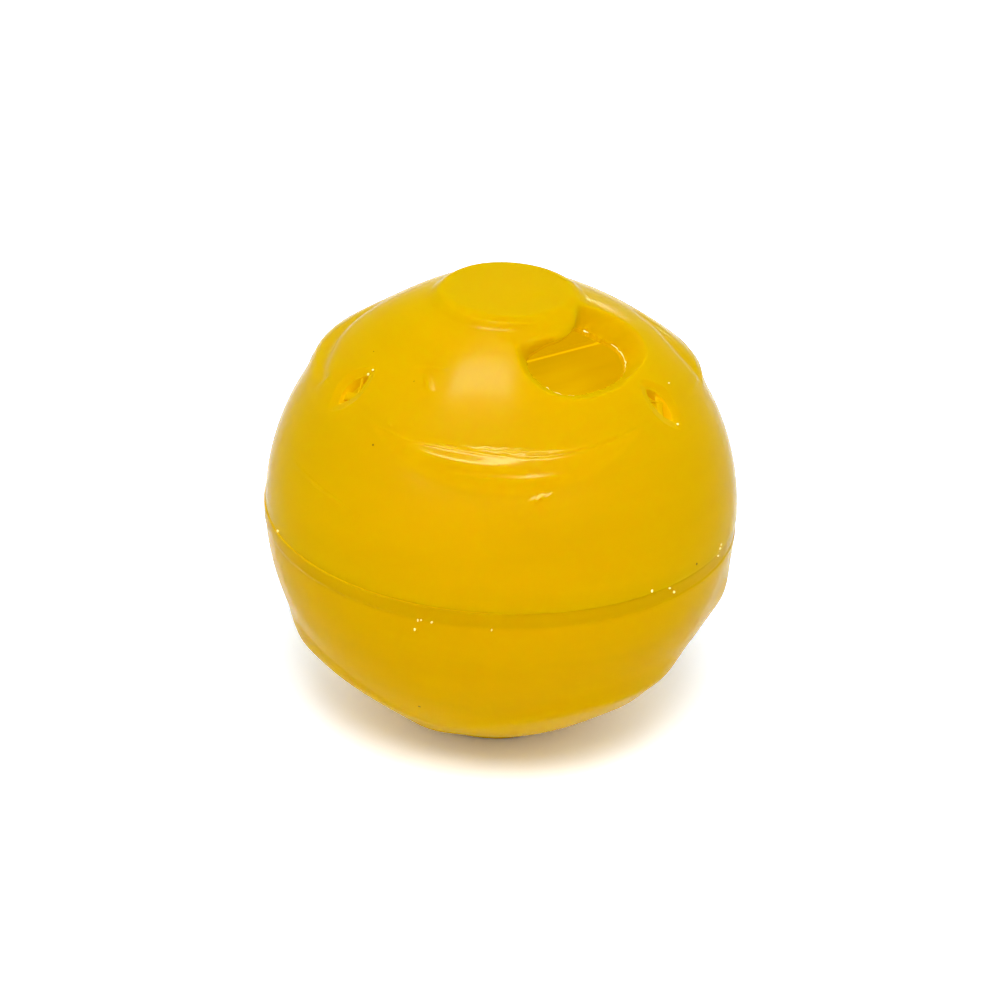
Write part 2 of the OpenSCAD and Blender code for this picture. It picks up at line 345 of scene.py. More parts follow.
UPPER_SIZES = {
    "pad_lat": 66.0,
    "pad_turn": -35.0,
    "drop": 2.6 * MM,
    "bulge": 1.3 * MM,
    "face_r": 15.0 * MM,
    "face_rise": 1.4 * MM,
    "flank": 3.2 * MM,
    "swells": (
        (170.0, 60.0, 14.0, 0.5 * MM),
        (192.0, 50.0, 12.0, -0.5 * MM),
    ),
    "ridges": UPPER_RIDGES,
}
LOWER_SIZES = {
    "pad_lat": 61.0,
    "pad_turn": 5.0,
    "drop": 1.9 * MM,
    "bulge": 1.9 * MM,
    "face_r": 18.0 * MM,
    "face_rise": 2.2 * MM,
    "flank": 3.2 * MM,
    "swells": (
        (45.0, 17.6, 6.5, 1.4 * MM),
        (20.0, 46.0, 6.5, 0.8 * MM),
        (31.0, 37.0, 5.5, -1.1 * MM),
        (-105.0, 30.0, 7.0, 0.6 * MM),
        (-68.0, 61.0, 7.0, 1.1 * MM),
    ),
    "ridges": (),
}

# The treat mouth: its place, then the reach of the hole's torn edge and of the pocket's rim as
# shares of the radius, each with its angles in degrees from east round by north
MOUTH_TURN = math.radians(12.0)
MOUTH_LAT = math.radians(63.7)
HOLE_ANGLES = (0, 6, 15, 26, 36, 46, 54, 64, 82, 100, 118, 133, 145, 151, 160, 176, 190, 204, 223,
               237, 257, 282, 305, 321, 335, 348)
HOLE_REACH = (0.262, 0.250, 0.222, 0.218, 0.218, 0.216, 0.185, 0.131, 0.105, 0.096, 0.103, 0.124,
              0.190, 0.245, 0.255, 0.262, 0.256, 0.247, 0.218, 0.199, 0.181, 0.182, 0.205, 0.228,
              0.252, 0.270)
RIM_ANGLES = (0, 16, 24, 32, 43, 60, 85, 120, 144, 164, 175, 200, 219, 250, 289, 311, 325, 341)
RIM_REACH = (0.347, 0.329, 0.314, 0.290, 0.262, 0.262, 0.268, 0.268, 0.290, 0.308, 0.320, 0.318,
             0.290, 0.236, 0.216, 0.238, 0.271, 0.317)
# How far the hole's edge lies from the ball's middle, where it is torn and on its lip
HOLE_LEVEL = 57.6 * MM
LIP_LEVEL = 61.2 * MM
MOUTH_POINTS = 300
# The part of the edge that the mould left whole: its middle and half its length, in degrees
LIP_MIDDLE = 101.0
LIP_HALF = 48.0
# Waves of the torn edge: number round it, phase and share, then their size
TEAR_WAVES = ((7, 0.4, 0.6), (17, 1.9, 0.5), (31, 0.7, 0.6), (53, 2.6, 0.7), (71, 4.1, 0.45))
TEAR_SIZE = 0.0022
# Steps from the hole's edge, 0, past the pocket's rim, 1, and the blend over that rim
POCKET_STEPS = (0.0, 0.04, 0.1, 0.18, 0.27, 0.36, 0.46, 0.56, 0.66, 0.75, 0.83, 0.9, 0.96, 1.02,
                1.08, 1.15, 1.24, 1.36, 1.5)
POCKET_BLEND = 0.55 * MM
# Steps down the mouth's wall: how much wider, as a share of the radius, and how far below its edge
MOUTH_WALL = ((0.0009, 0.5 * MM), (0.0021, 1.3 * MM))

# Slots between the pads: turn, latitude and lean of each, in degrees, then half the length and
# half the width of the opening and of the dish round it
SLOT_PLACES = ((25.0, 42.4, -10.0), (145.0, 42.4, 6.0), (265.0, 43.2, 14.0))
SLOT_OPEN = (5.5 * MM, 2.6 * MM)
SLOT_DISH = (8.6 * MM, 5.2 * MM)
SLOT_DEPTH = 1.0 * MM
SLOT_POINTS = 96
SLOT_STEPS = (0.0, 0.08, 0.2, 0.34, 0.5, 0.66, 0.8, 0.9, 0.98, 1.06, 1.16, 1.3)
SLOT_BLEND = 0.25 * MM
# Webs across a slot: place along it, tilt in degrees, half width and depth, then half their
# thickness, how far they run into the slot's walls and how far they sag
SLOT_WEBS = ((-1.6 * MM, 38.0, 1.1 * MM, 1.2 * MM), (1.6 * MM, -42.0, 0.3 * MM, 1.0 * MM))
WEB_HALF_THICK = 0.4 * MM
WEB_ROOT = 0.4 * MM
WEB_SAG = 0.3 * MM

# Noise along a torn thread, the least and most share of its thickness, and the flecks' stretch
THREAD_NOISE = 420.0
THREAD_RANGE = (0.4, 0.62)
THREAD_SCALES = (0.15, 1.6)
FLECK_LEAST = (0.5, 0.35, 0.35)
FLECK_MOST = (1.5, 0.9, 0.9)
# Torn thread and burrs of the mouth and the arcs in degrees that they follow, then flecks of flash
MOUTH_BURRS = {"Thread": 0.15 * MM, "Fleck": 0.2 * MM, "Share": 0.06, "Seed": 5}
BURR_ARCS = ((191, 224), (322, 5), (32, 39))
FLASH = {"Thread": 0.05 * MM, "Fleck": 0.42 * MM, "Share": 1.0, "Seed": 3}
UPPER_FLASH = (
    (-102.1, 1.2), (-101.4, 1.6), (3.6, 1.6), (30.8, 1.9), (31.4, 2.6), (-92.6, 49.7),
    (-92.5, 48.2), (34.4, 44.8), (26.0, 36.2),
)
LOWER_FLASH = (
    (-53.4, -3.3), (-52.6, -3.0), (-54.2, -6.0), (-50.0, -3.1), (-36.0, -3.4), (9.3, 0.4),
    (10.9, -1.2), (29.8, 0.4),
)

# Rings of points: where the joint's rows end, the latitudes in degrees near which rings lie
# closer, how near, and the inside's spacing
RING_LAT = math.radians(4.0)
UPPER_FINE_LATS = (38.2, 72.5, 75.0)
LOWER_FINE_LATS = (33.0, 70.5, 73.0)
FINE_REACH = math.radians(2.4)
INSIDE_SPACING = 2.6 * MM
# Close rows along a ridge: the distance between points, and the rows as shares of its width
RIDGE_SPACING = 0.6 * MM
RIDGE_SHARES = (-2.0, -1.3, -0.8, -0.4, 0.0, 0.4, 0.8, 1.3, 2.0)
# The lower half's directions are worked out upwards, and turned down by this
DOWN = (1, 1, -1)

# Half the length of the baffle's level edge, between its two raised ends
EDGE_HALF = 28.5 * MM

# Twist joint and ledge, as the CAD solids have them: radii, heights from the ball's middle, half
# a lug's width in degrees, and the ledge's slope as a radius and height
JOINT_Z = 1.0 * MM
RIM_Z = 1.3 * MM
LIP_Z = 1.02 * MM
LIP_CORNER = 0.12 * MM
LIP_IN_R = 61.6 * MM
SKIRT_ROOT_Z = 5.0 * MM
SKIRT_OUT_R = 59.0 * MM
SKIRT_IN_R = 56.0 * MM
SKIRT_END_Z = -7.5 * MM
SKIRT_BEND = 0.35 * MM
LUG_R = 60.8 * MM
LUG_TOP_Z = -4.9 * MM
LUG_HALF = 8.0
COLLAR_IN_R = 59.3 * MM
GROOVE_R = 61.1 * MM
COLLAR_TOP_R = 62.4 * MM
# The collar stands a little proud, more on one side: how far, its even and uneven share, and where
COLLAR_PROUD = 0.4 * MM
COLLAR_EVEN = 0.1
COLLAR_TILT = 0.75
COLLAR_LEFT = -125.0
BAND_END_Z = -3.1 * MM
BAND_ROWS = 9
GROOVE_END_Z = -7.7 * MM
# Turns in degrees where a groove and its entry begin and end
GROOVE_FROM = -8.3
GROOVE_TO = 32.6
ENTRY_FROM = 15.9
ENTRY_TO = 32.1
LEDGE_IN_R = 54.8 * MM
LEDGE_Z = -9.8 * MM
LEDGE_H = 2.4 * MM
LEDGE_SLOPE = (56.6 * MM, -14.2 * MM)
LEDGE_FOOT_Z = -16.0 * MM

# Painted light and shade on the plastic, as a change from 1, and how dull the dome is beside the
# pads
CRESCENT_PAINTED_LIGHT = 0.05
LAP_PAINTED_SHADE = -0.1
POCKET_PAINTED_SHADE = -0.05
DOME_DULL = 0.6
# Where each begins and is full: a crescent's angle from its pad's middle and its latitude, the
# dome's latitude, the pocket as a share of its rim, and the lap's height
CRESCENT_EDGE = (37.5, 36.1)
CRESCENT_LATS = (40.5, 37.8)
DOME_LATS = (42.0, 56.0)
POCKET_EDGE = (1.02, 0.93)
LAP_HEIGHTS = (-4.2 * MM, -2.7 * MM)


def periodic(angles, values, at):
    """Smooth closed curve of a reach against its angle, both angles in degrees."""
    angles = np.array(angles, float)
    values = np.array(values, float)
    wide_a = np.concatenate([angles - 360.0, angles, angles + 360.0])
    wide_v = np.tile(values, 3)
    fine = np.arange(0.0, 360.0, 1.0)
    curve = np.interp(fine, wide_a, wide_v)
    kernel = np.hanning(13)
    kernel /= kernel.sum()
    curve = np.convolve(np.tile(curve, 3), kernel, mode="same")[360:720]
    return np.interp(np.mod(at, 360.0), np.append(fine, 360.0), np.append(curve, curve[0]))


# A shell's materials: its outside, its inside and its cut walls with the joint
OUTSIDE, INSIDE, WALL = 0, 1, 2


class ShellMesh:
    """Collects points and faces of one shell, with closed loops joined by bands."""

    def __init__(self):
        self.points = []
        self.faces = []
        self.finishes = []
        self.finish = OUTSIDE
        self.count = 0

    def add(self, points):
        """Adds points and returns their numbers."""
        self.points.append(np.asarray(points, float))
        numbers = np.arange(self.count, self.count + len(points))
        self.count += len(points)
        return numbers

    def band(self, a, b):
        """Joins two closed loops of the same length with quads."""
        for i in range(len(a)):
            j = (i + 1) % len(a)
            self.faces.append((a[i], a[j], b[j], b[i]))
        self.finishes += [self.finish] * len(a)

    def cap(self, loop):
        """Closes a loop with one face."""
        self.faces.append(tuple(loop))
        self.finishes.append(self.finish)

    def patch(self, flat, numbers, holes):
        """Fills a flat layout of points with triangles, leaving out the holes."""
        coords = [Vector(p) for p in flat]
        edges = [(int(a), int(b)) for loop in holes for a, b in zip(loop, np.roll(loop, -1))]
        result = delaunay_2d_cdt(coords, edges, [], 0, 1e-9)
        source = [ids[0] if ids else -1 for ids in result[3]]
        triangles = np.array([[source[i] for i in face] for face in result[2] if len(face) == 3])
        inside = np.zeros(len(triangles), bool)
        for loop in holes:
            member = np.zeros(len(flat), bool)
            member[loop] = True
            inside |= member[triangles].all(axis=1)
        for tri in triangles[~inside]:
            self.faces.append(tuple(int(numbers[i]) for i in tri))
        self.finishes += [self.finish] * int((~inside).sum())

    def build(self, name, middle, painted_shade):
        """Makes the mesh, with its faces turned outwards and, at each point, a painted shade with
        its matt and polish.
        """
        points = np.vstack(self.points)
        shades = painted_shade(points)
        points[:, 2] += middle
        mesh = bpy.data.meshes.new(name)
        mesh.from_pydata(points.tolist(), [], [tuple(int(i) for i in f) for f in self.faces])
        mesh.polygons.foreach_set("material_index", self.finishes)
        for label, values in zip(("painted_shade", "matt", "polish"), shades):
            mesh.attributes.new(label, "FLOAT", "POINT").data.foreach_set("value", values)
        work = bmesh.new()
        work.from_mesh(mesh)
        bmesh.ops.remove_doubles(work, verts=work.verts, dist=2e-6)
        bmesh.ops.recalc_face_normals(work, faces=work.faces)
        work.to_mesh(mesh)
        work.free()
        mesh.shade_smooth()
        mesh.set_sharp_from_angle(angle=math.radians(38.0))
        piece = bpy.data.objects.new(name, mesh)
        bpy.context.scene.collection.objects.link(piece)
        return piece


def stereo(d):
    """Flat layout of directions that keeps triangles well shaped."""
    return d[:, :2] / (1.0 + d[:, 2:3])


def ring_directions(low_lat, spacing, radius, fine_lats):
    """Rings of directions from just above a boundary latitude to the pole."""
    rings = []
    lat = low_lat
    while True:
        near = min(abs(lat - math.radians(f)) for f in fine_lats) if fine_lats else 1.0
        step = spacing / radius * (0.55 if near < FINE_REACH else 0.9)
        lat += step
        if lat > math.pi / 2.0 - 0.6 * step:
            break
        count = max(6, round(math.tau * math.cos(lat) * radius / spacing))
        turns = (np.arange(count) + 0.5 * (len(rings) % 2)) / count * math.tau
        rings.append(direction(turns, np.full(count, lat)))
    rings.append(np.array([[0.0, 0.0, 1.0]]))
    return np.vstack(rings)


def ridge_rows(half, free):
    """Close rows of directions along each ridge, in place of the wider spaced ones near it."""
    rows = []
    for _, width, path in half.ridges:
        lengths = np.linalg.norm(np.diff(path, axis=0), axis=1) * half.r
        at = np.concatenate([[0.0], np.cumsum(lengths)])
        count = max(4, int(at[-1] / RIDGE_SPACING))
        even = np.linspace(0.0, at[-1], count)
        middle = np.stack([np.interp(even, at, path[:, k]) for k in range(3)], axis=-1)
        middle /= np.linalg.norm(middle, axis=1)[:, None]
        along = np.gradient(middle, axis=0)
        side = np.cross(middle, along)
        side /= np.linalg.norm(side, axis=1)[:, None]
        gap, _ = nearest_on_path(free, middle)
        free = free[gap * half.r > 2.4 * width]
        rows = [old[nearest_on_path(old, middle)[0] * half.r > 0.3 * width] for old in rows]
        for share in RIDGE_SHARES:
            row = middle + side * (share * width / half.r)
            rows.append(row / np.linalg.norm(row, axis=1)[:, None])
    return np.vstack([free] + rows)


def outline_directions(axes, reach, angles):
    """Directions at a reach and angle about a place; the reach is the sine of the angle off."""
    out, east, north = axes
    across = np.cos(angles) * reach
    up = np.sin(angles) * reach
    depth = np.sqrt(np.maximum(1.0 - reach**2, 0.0))
    return out * depth[:, None] + east * across[:, None] + north * up[:, None]


def reach_and_angle(axes, d):
    """Reach and angle of directions about a place, with those behind it pushed far off."""
    out, east, north = axes
    across, up = d @ east, d @ north
    reach = np.where(d @ out > 0.0, np.hypot(across, up), 9.0)
    return reach, np.arctan2(up, across)


def keep_clear(free, axes, loop, margin):
    """The free directions that lie more than a margin outside a loop about a place."""
    loop_reach, loop_angle = reach_and_angle(axes, loop)
    reach, angle = reach_and_angle(axes, free)
    return free[reach > np.interp(angle, loop_angle, loop_reach, period=math.tau) + margin]


def root_directions(turns, radius, height, inner_r):
    """Directions of the ring where the inner surface meets the joint's inner rows."""
    ring = [radius * np.sin(turns), -radius * np.cos(turns), np.full(len(turns), height)]
    return np.stack(ring, axis=-1) / inner_r


def almond(size, angles):
    """Reach of an almond outline, long at a right angle to angle 0."""
    length, width = size
    arc = (length**2 + width**2) / (2.0 * width)
    off = arc - width
    c = np.abs(np.cos(angles))
    return -off * c + np.sqrt(off**2 * c**2 + arc**2 - off**2)


def ragged(angles):
    """Small uneven offsets along a torn edge."""
    return TEAR_SIZE * sum(share * np.sin(n * angles + phase) for n, phase, share in TEAR_WAVES)


def twist_columns(edges):
    """Turns of a ring's columns in degrees, with a close pair at each edge of a lug or groove."""
    base = np.arange(0.0, 360.0, 1.0)
    marks = np.array([(e + i * 360.0 / LUGS) % 360.0 for e in edges for i in range(LUGS)])
    gap = np.abs((base[:, None] - marks[None, :] + 180.0) % 360.0 - 180.0)
    base = base[gap.min(axis=1) > 0.3]
    return np.sort(np.concatenate([base, (marks - 0.05) % 360.0, (marks + 0.05) % 360.0]))


def within(turns, low, high):
    """Whether each turn lies in one of the repeated spans from low to high."""
    span = 360.0 / LUGS
    return np.mod(turns - low, span) < (high - low)


def revolve_rows(shell, columns, rows):
    """Adds rings of points; each row's radius and height may differ from column to column."""
    turns = np.radians(columns)
    loops = []
    for radius, height in rows:
        radius = np.broadcast_to(radius, turns.shape)
        height = np.broadcast_to(height, turns.shape)
        points = np.stack([radius * np.sin(turns), -radius * np.cos(turns), height], axis=-1)
        loops.append(shell.add(points))
    for a, b in zip(loops, loops[1:]):
        shell.band(a, b)
    return loops


def ball_at(radius, height):
    """Radius of a sphere's ring at a height, and that height."""
    return np.sqrt(radius**2 - height**2), height


def mouth_lip(degrees):
    """Share, 0 to 1, to which each angle about the mouth lies on its whole, rounded lip."""
    return np.exp(-(((degrees - LIP_MIDDLE) / LIP_HALF) ** 8))


def mouth_loops(form):
    """Loops of directions and distances from the hole's edge out past the pocket's rim."""
    axes = local_axes(MOUTH_TURN, MOUTH_LAT)
    angles = np.arange(MOUTH_POINTS) / MOUTH_POINTS * math.tau
    degrees = np.degrees(angles)
    lip = mouth_lip(degrees)
    even = periodic(HOLE_ANGLES, HOLE_REACH, degrees)
    tear = ragged(angles) * (1.0 - lip)
    hole = even + tear
    rim = periodic(RIM_ANGLES, RIM_REACH, degrees)
    level = HOLE_LEVEL + (LIP_LEVEL - HOLE_LEVEL) * lip
    depth = form.distance(outline_directions(axes, hole, angles)) - level
    loops = []
    for t in POCKET_STEPS:
        straight = 1.0 - t
        rolled = max(straight, 0.0) ** 8
        d = outline_directions(axes, even + (rim - even) * t + tear * rolled, angles)
        share = straight * (1.0 - lip) + rolled * lip
        sink = smooth_max(depth * share, np.zeros(MOUTH_POINTS), POCKET_BLEND)
        loops.append((d, form.distance(d) - sink))
    return angles, hole, level, axes, loops


def slot_loops(form, place):
    """Loops of directions and distances from a slot's edge out past its dish."""
    turn, lat, lean = (math.radians(v) for v in place)
    axes = local_axes(turn, lat)
    angles = np.arange(SLOT_POINTS) / SLOT_POINTS * math.tau
    inner = almond(SLOT_OPEN, angles + lean) / form.r
    outer = almond(SLOT_DISH, angles + lean) / form.r
    loops = []
    for t in SLOT_STEPS:
        d = outline_directions(axes, inner + (outer - inner) * t, angles)
        sink = np.full(SLOT_POINTS, SLOT_DEPTH * max(1.0 - t, 0.0) ** 0.8)
        sink = smooth_max(sink, np.zeros(SLOT_POINTS), SLOT_BLEND)
        loops.append((d, form.distance(d) - sink))
    return angles, inner, axes, loops


def fill_round(shell, rings, openings):
    """Fills between rings of directions and points, round the first loop of each opening."""
    pairs = list(rings)
    holes = []
    for loops in openings:
        start = sum(len(d) for d, _ in pairs)
        holes.append(np.arange(start, start + len(loops[0][0])))
        pairs += loops
    layout, numbers = zip(*pairs)
    shell.patch(stereo(np.vstack(layout)), np.concatenate(numbers), holes)


def outside_patch(shell, half, boundary, boundary_d, spacing, openings):
    """Fills the outside up to the pole, round the openings, and returns each opening's edge."""
    low = float(np.arcsin(boundary_d[:, 2]).max())
    free = ring_directions(low + 0.2 * spacing / half.r, spacing, half.r, UPPER_FINE_LATS)
    free = ridge_rows(half, free)
    for axes, loops in openings:
        free = keep_clear(free, axes, loops[-1][0], 0.6 * spacing / half.r)
    rings = [(boundary_d, boundary), (free, shell.add(free * half.distance(free)[:, None]))]
    numbered = [[(d, shell.add(d * r[:, None])) for d, r in loops] for _, loops in openings]
    fill_round(shell, rings, numbered)
    return [loops[0][1] for loops in numbered]


def inside_patch(shell, inner_r, boundary, boundary_d, openings):
    """Fills the inner surface from the skirt's root to the pole, round the openings."""
    low = float(np.arcsin(boundary_d[:, 2]).max())
    step = INSIDE_SPACING / inner_r
    free = ring_directions(low + 0.5 * step, INSIDE_SPACING, inner_r, ())
    for axes, d, _ in openings:
        free = keep_clear(free, axes, d, 0.4 * step)
    rings = [(boundary_d, boundary), (free, shell.add(free * inner_r))]
    fill_round(shell, rings, [[(d, ids)] for _, d, ids in openings])


def down_wall(shell, last, loops):
    """Joins an opening's edge to each further loop of points in turn, and returns the last."""
    for points in loops:
        ids = shell.add(points)
        shell.band(last, ids)
        last = ids
    return last


def mouth_wall(shell, edge, mouth, inner_r):
    """The mouth's wall from its torn edge, undercut, out to the inner surface."""
    angles, hole, level, axes, _ = mouth
    rim = periodic(RIM_ANGLES, RIM_REACH, np.degrees(angles))
    deep = np.minimum(level - 0.6 * MM, inner_r - 0.9 * MM)
    steps = [(hole + wider, level - lower) for wider, lower in MOUTH_WALL]
    steps.append(((hole + rim) * 0.5 + 0.01, deep))
    points = [outline_directions(axes, reach, angles) * r[:, None] for reach, r in steps]
    d = outline_directions(axes, rim + 0.03, angles)
    return axes, d, down_wall(shell, edge, points + [d * inner_r])


def slot_wall(shell, edge, slot, half, inner_r):
    """A slot's wall, which narrows a little on its way to the inner surface."""
    angles, inner, axes, _ = slot
    points = []
    for share in (0.35, 0.7):
        d = outline_directions(axes, inner * (1.0 - 0.04 * share), angles)
        top = half.distance(d) - SLOT_DEPTH
        points.append(d * (top + (inner_r - top) * share)[:, None])
    d = outline_directions(axes, inner, angles)
    return axes, d, down_wall(shell, edge, points + [d * inner_r])


def joint_bands(shell, columns, rows, boundary, outside_rows):
    """The joint's rows, the first few on the outside and the others as hidden walls."""
    loops = revolve_rows(shell, columns, rows[:outside_rows])
    shell.band(boundary, loops[0])
    shell.finish = WALL
    loops += revolve_rows(shell, columns, rows[outside_rows:])
    shell.band(loops[outside_rows - 1], loops[outside_rows])
    shell.finish = OUTSIDE
    return loops[-1]


def build_upper(settings):
    """The upper shell: dome, pads, disc, torn mouth, slots and the skirt with its lugs."""
    half = HalfForm(settings, UPPER_SIZES)
    inner_r = settings.radius - settings.wall
    shell = ShellMesh()
    columns = twist_columns((-LUG_HALF, LUG_HALF))
    turns = np.radians(columns)
    lug = within(columns, -LUG_HALF, LUG_HALF)
    skirt = np.where(lug, LUG_R, SKIRT_OUT_R)
    root_r, root_z = ball_at(inner_r, SKIRT_ROOT_Z)
    boundary_d = direction(turns, np.full(len(turns), RING_LAT))
    wall_rows = [ball_at(settings.radius, z * MM) for z in (3.3, 2.6, 2.0)]
    edge_r = wall_rows[-1][0] + 0.06 * MM
    for a in np.radians((0.0, 30.0, 60.0, 90.0)):
        inwards = LIP_CORNER * (1.0 - math.cos(a))
        wall_rows.append((edge_r - inwards, LIP_Z + LIP_CORNER * (1.0 - math.sin(a))))
    bend = SKIRT_BEND
    rows = wall_rows + [
        (LIP_IN_R, LIP_Z),
        (LIP_IN_R - 0.2 * MM, RIM_Z),
        (SKIRT_OUT_R + bend, RIM_Z),
        (SKIRT_OUT_R, RIM_Z - bend),
        (SKIRT_OUT_R, -1.5 * MM),
        (SKIRT_OUT_R, LUG_TOP_Z + 0.05 * MM),
        (skirt - 0.05 * MM * lug, LUG_TOP_Z),
        (skirt, LUG_TOP_Z - 0.2 * MM),
        (skirt, SKIRT_END_Z + bend),
        (skirt - bend, SKIRT_END_Z),
        (SKIRT_IN_R + bend, SKIRT_END_Z),
        (SKIRT_IN_R, SKIRT_END_Z + bend),
        (SKIRT_IN_R, -3.0 * MM),
        (SKIRT_IN_R, 1.0 * MM),
        (SKIRT_IN_R + 0.3 * MM, 1.6 * MM),
        (root_r - 0.4 * MM, root_z - 0.6 * MM),
        (root_r, root_z),
    ]
    first = shell.add(boundary_d * half.distance(boundary_d)[:, None])
    skirt_end = joint_bands(shell, columns, rows, first, len(wall_rows))

    mouth = mouth_loops(half)
    slots = [slot_loops(half, place) for place in SLOT_PLACES]
    openings = [(opening[-2], opening[-1]) for opening in (mouth, *slots)]
    edges = outside_patch(shell, half, first, boundary_d, settings.spacing, openings)

    shell.finish = WALL
    walls = [mouth_wall(shell, edges[0], mouth, inner_r)]
    walls += [slot_wall(shell, e, slot, half, inner_r) for e, slot in zip(edges[1:], slots)]
    shell.finish = INSIDE
    root_d = root_directions(turns, root_r, root_z, inner_r)
    inside_patch(shell, inner_r, skirt_end, root_d, walls)
    return shell.build("shell_upper", settings.middle, upper_painted_shade)


def ramp(values, low, high):
    """Smooth rise from 0 at the first value to 1 at the second."""
    t = np.clip((values - low) / (high - low), 0.0, 1.0)
    return t * t * (3.0 - 2.0 * t)


def upper_painted_shade(points):
    """Painted light and shade of the upper plastic: painted lightening in the crescents, for light
    through the thinner plastic, and painted shade in its matt treat pocket.
    """
    d = points / np.linalg.norm(points, axis=1)[:, None]
    lat = np.degrees(np.arcsin(np.clip(d[:, 2], -1.0, 1.0)))
    painted_shade = np.ones(len(points))
    for i in range(PADS):
        middle = toward(UPPER_SIZES["pad_turn"] + i * 360.0 / PADS, UPPER_SIZES["pad_lat"])
        away = np.degrees(np.arccos(np.clip(d @ middle, -1.0, 1.0)))
        # painted lightening of the crescents, for the light that shows through the thinner plastic
        # there
        painted_shade += CRESCENT_PAINTED_LIGHT * ramp(away, *CRESCENT_EDGE) * ramp(lat, *CRESCENT_LATS)
    reach, angle = reach_and_angle(local_axes(MOUTH_TURN, MOUTH_LAT), d)
    rim = periodic(RIM_ANGLES, RIM_REACH, np.degrees(angle))
    matt = ramp(reach / rim, *POCKET_EDGE) * (1.0 - mouth_lip(np.degrees(angle) % 360.0))
    polish = (1.0 - matt) * (1.0 - DOME_DULL * ramp(lat, *DOME_LATS))
    # the pocket's recess is darkened with painted shade
    return painted_shade + POCKET_PAINTED_SHADE * matt, matt, polish


def lower_painted_shade(points):
    """Painted shade on the lower plastic, in the band where the collar laps under the upper
    shell's edge.
    """
    painted_shade = 1.0 + LAP_PAINTED_SHADE * ramp(points[:, 2], *LAP_HEIGHTS)
    return painted_shade, np.zeros(len(points)), np.ones(len(points))


def build_lower(settings):
    """The lower shell: dome, pads, foot, the collar with its grooves, and the ledge."""
    half = HalfForm(settings, LOWER_SIZES)
    inner_r = settings.radius - settings.wall
    shell = ShellMesh()
    columns = twist_columns((GROOVE_FROM, GROOVE_TO, ENTRY_FROM, ENTRY_TO))
    turns = np.radians(columns)
    groove = within(columns, GROOVE_FROM, GROOVE_TO)
    entry = within(columns, ENTRY_FROM, ENTRY_TO)
    top_in = np.where(entry, GROOVE_R + 0.15 * MM, COLLAR_IN_R)
    low_in = np.where(groove, GROOVE_R, COLLAR_IN_R)
    flipped = direction(turns, np.full(len(turns), RING_LAT))
    left = np.cos(turns - math.radians(COLLAR_LEFT))
    stand = COLLAR_PROUD * (COLLAR_EVEN + COLLAR_TILT * left)
    proud = settings.radius + stand
    band_end_r = ball_at(settings.radius, BAND_END_Z)[0]
    rows = [
        ball_at(settings.radius, BAND_END_Z - 0.5 * MM),
        (band_end_r + 0.2 * stand, BAND_END_Z - 0.12 * MM),
        (band_end_r + 0.8 * stand, BAND_END_Z + 0.06 * MM),
        ball_at(proud, BAND_END_Z + 0.35 * MM),
        ball_at(proud, -1.8 * MM),
        ball_at(proud, -0.8 * MM),
        (proud, 0.2 * MM),
        (proud, 0.75 * MM),
        (proud - 0.1 * MM, 0.93 * MM),
        (proud - 0.3 * MM, JOINT_Z),
        (COLLAR_TOP_R, JOINT_Z),
        (top_in + 0.3 * MM, JOINT_Z),
        (top_in, JOINT_Z - 0.3 * MM),
        (top_in, -2.0 * MM),
        (np.where(entry, top_in, COLLAR_IN_R), LUG_TOP_Z + 0.34 * MM),
        (np.where(entry, top_in, low_in), LUG_TOP_Z + 0.3 * MM),
        (low_in, LUG_TOP_Z + 0.26 * MM),
        (low_in, GROOVE_END_Z),
        (COLLAR_IN_R, GROOVE_END_Z - 0.1 * MM),
        ball_at(inner_r, LEDGE_Z + 0.3 * MM),
        (ball_at(inner_r, LEDGE_Z)[0] - 0.2 * MM, LEDGE_Z),
        (LEDGE_IN_R + 0.3 * MM, LEDGE_Z),
        (LEDGE_IN_R, LEDGE_Z - 0.3 * MM),
        (LEDGE_IN_R, LEDGE_Z - LEDGE_H),
        LEDGE_SLOPE,
        (ball_at(inner_r, LEDGE_FOOT_Z)[0], LEDGE_FOOT_Z),
    ]
    first = shell.add(flipped * half.distance(flipped)[:, None] * DOWN)
    ledge_foot = joint_bands(shell, columns, rows, first, BAND_ROWS)
    spacing = settings.spacing
    free = ring_directions(RING_LAT + 0.2 * spacing / half.r, spacing, half.r, LOWER_FINE_LATS)
    free = ridge_rows(half, free)
    outside = shell.add(free * half.distance(free)[:, None] * DOWN)
    fill_round(shell, [(flipped, first), (free, outside)], [])
    shell.finish = INSIDE
    root_r, root_z = ball_at(inner_r, LEDGE_FOOT_Z)
    root_d = root_directions(turns, root_r, -root_z, inner_r)
    low = float(np.arcsin(root_d[:, 2]).max()) + 0.02
    free = ring_directions(low, INSIDE_SPACING, inner_r, ())
    inside = shell.add(free * inner_r * DOWN)
    fill_round(shell, [(root_d, ledge_foot), (free, inside)], [])
    return shell.build("shell_lower", settings.middle, lower_painted_shade)


def no_painted_shade(points):
    """No painted shade, an even polish and no matt places."""
    return np.ones(len(points)), np.zeros(len(points)), np.ones(len(points))


